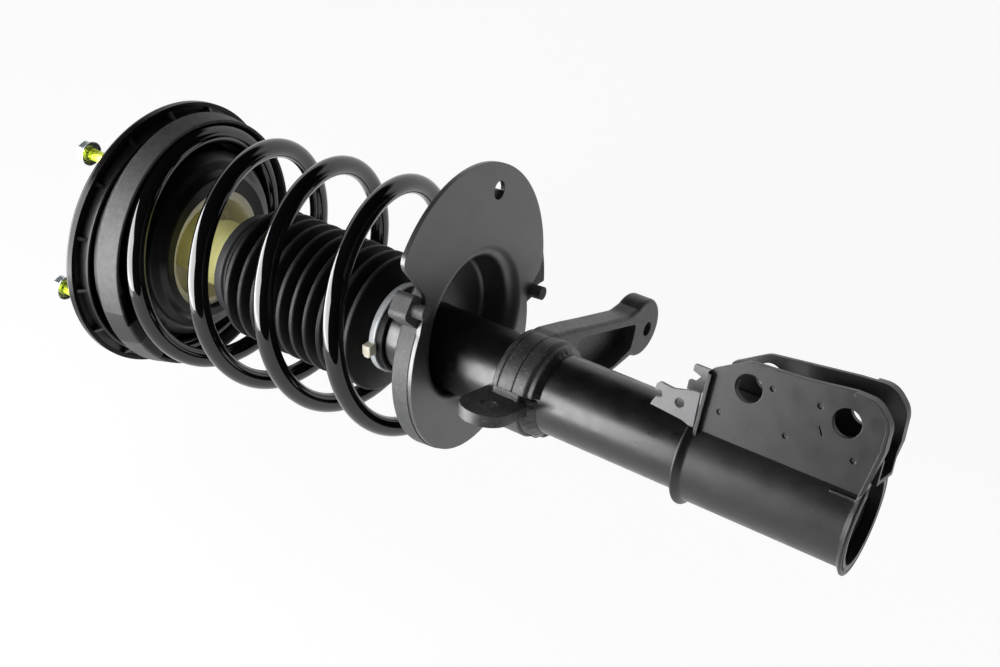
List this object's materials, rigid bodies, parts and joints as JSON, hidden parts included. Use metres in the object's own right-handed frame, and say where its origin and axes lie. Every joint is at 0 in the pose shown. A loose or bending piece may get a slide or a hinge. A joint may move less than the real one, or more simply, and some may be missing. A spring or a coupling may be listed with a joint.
{
  "type": "suspension_strut_assembly",
  "caption": "Front suspension strut: leaning coil spring between two seats, top mount with studs and bearing, boot, damper tube, steering arm and knuckle clevis.",
  "frame": {"origin": "centre of the top mount's face that bears on the car body, on the strut's axis", "axes": "+Z along the strut's axis up through the top mount, +X the way the knuckle bracket's ears reach, +Y completes the right-handed frame"},
  "size_m": [0.2173, 0.2387, 0.5744],
  "materials": {
    "gloss_black_paint": "gloss",
    "satin_black_paint": "satin",
    "black_plastic": "satin",
    "white_plastic": "satin",
    "cream_plastic": "satin",
    "black_rubber": "matte",
    "grey_rubber": "matte",
    "yellow_foam": "matte",
    "yellow_zinc": "satin",
    "bright_zinc": "satin",
    "bearing_steel": "polished",
    "chrome": "polished"
  },
  "bodies": {
    "top_mount": {"mount_plate": "gloss_black_paint", "mount_rib_ring": "black_plastic", "tower_studs": "yellow_zinc", "tower_nuts": "bright_zinc", "mount_bush": "black_rubber", "bush_sleeve": "bright_zinc", "rod_washers": "bright_zinc", "rod_nut": "bright_zinc", "bearing_upper_race": "bearing_steel", "piston_rod": "chrome", "rebound_stop": "bearing_steel", "valve_shims": "bearing_steel", "piston": "bearing_steel", "piston_band": "white_plastic", "piston_nut": "bright_zinc"},
    "bearing_cage_body": {"bearing_cage": "black_plastic", "bearing_balls": "bearing_steel"},
    "spring_seat": {"bearing_lower_race": "bearing_steel", "upper_spring_seat": "satin_black_paint", "upper_isolator": "grey_rubber", "bumper_cup": "cream_plastic", "jounce_bumper": "yellow_foam", "coil_spring": "gloss_black_paint", "dust_boot": "black_rubber"},
    "strut_body": {"strut_tube": "satin_black_paint", "end_cap": "satin_black_paint", "pressure_tube": "bearing_steel", "base_valve": "bearing_steel", "rod_guide": "bearing_steel", "rod_seal": "black_rubber", "striker_cap": "bright_zinc", "cable_tie": "white_plastic", "lower_spring_seat": "satin_black_paint", "lower_isolator": "grey_rubber", "steering_arm": "satin_black_paint", "link_bracket": "satin_black_paint", "weld_beads": "satin_black_paint", "knuckle_bracket": "satin_black_paint", "bracket_reinforcement": "satin_black_paint", "hose_bracket": "satin_black_paint", "sensor_clip": "satin_black_paint"}
  },
  "joints": [
    {"name": "cage_turn", "type": "hinge", "parent": "top_mount", "child": "bearing_cage_body", "pos_m": [0, 0, 0.0024], "axis": [0, 0, 1], "continuous": true},
    {"name": "steering_swivel", "type": "hinge", "parent": "top_mount", "child": "spring_seat", "pos_m": [0, 0, 0.0024], "axis": [0, 0, 1], "continuous": true},
    {"name": "strut_stroke", "type": "slide", "parent": "spring_seat", "child": "strut_body", "axis": [0, 0, 1], "range_m": [0, 0.095], "deforming": ["coil_spring", "dust_boot"]}
  ],
  "couplings": [
    {"joint": "cage_turn", "follows": "steering_swivel", "ratio": 0.5}
  ]
}
